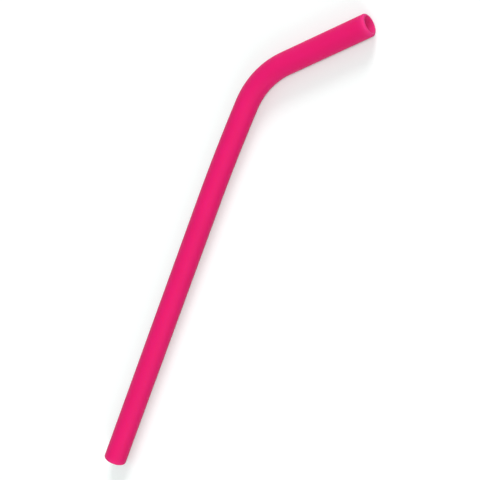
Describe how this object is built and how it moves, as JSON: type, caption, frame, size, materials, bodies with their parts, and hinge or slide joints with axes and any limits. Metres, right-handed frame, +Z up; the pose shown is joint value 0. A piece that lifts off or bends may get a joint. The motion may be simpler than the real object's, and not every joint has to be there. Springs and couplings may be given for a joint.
{
  "type": "silicone drinking straw",
  "caption": "Bent drinking straw: a plain round silicone tube of even wall, open at both ends, with a gentle elbow and rounded lips.",
  "frame": {"origin": "centre of the footprint of the straw as it lies on its side, on the surface that it lies on", "axes": "+Z up from the surface; +Y along the straight stem, from its open foot towards the elbow; the elbow turns the mouthpiece from +Y towards +X"},
  "size_m": [0.0492, 0.2298, 0.01],
  "materials": {
    "silicone": "matte, opaque hot pink"
  },
  "bodies": {
    "root": {"straw": "silicone"}
  },
  "joints": []
}
